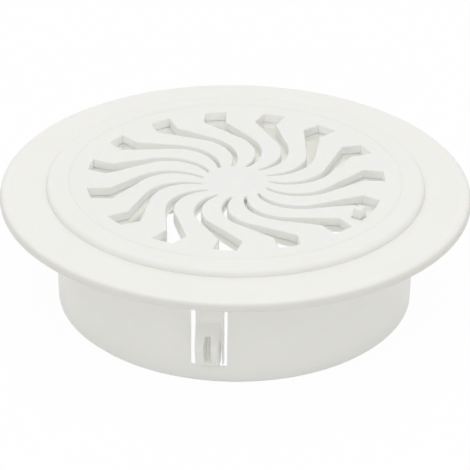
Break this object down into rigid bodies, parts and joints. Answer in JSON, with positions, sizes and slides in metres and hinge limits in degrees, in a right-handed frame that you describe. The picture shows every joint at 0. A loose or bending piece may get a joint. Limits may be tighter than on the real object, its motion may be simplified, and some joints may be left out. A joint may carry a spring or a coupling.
{
  "type": "round vent cover",
  "caption": "Round white vent cover for a duct: dished disc with swirl slots, flat flange, snap-in collar, and a turning shutter behind the grille with a finger peg.",
  "frame": {"origin": "centre of the flange's back face, where it meets the wall, on the collar's axis", "axes": "+Z out of the grille into the room, -Z along the collar into the duct, +Y away from the viewer of the picture with the finger peg on the +X side"},
  "size_m": [0.13, 0.13, 0.038],
  "materials": {
    "white_plastic": "satin injection moulding"
  },
  "bodies": {
    "cover": {"grille_cover": "white_plastic"},
    "shutter": {"shutter": "white_plastic"}
  },
  "joints": [
    {"name": "shutter_turn", "type": "hinge", "parent": "cover", "child": "shutter", "pos_m": [0, 0, 0], "axis": [0, 0, 1], "range_deg": [0, 12]}
  ]
}
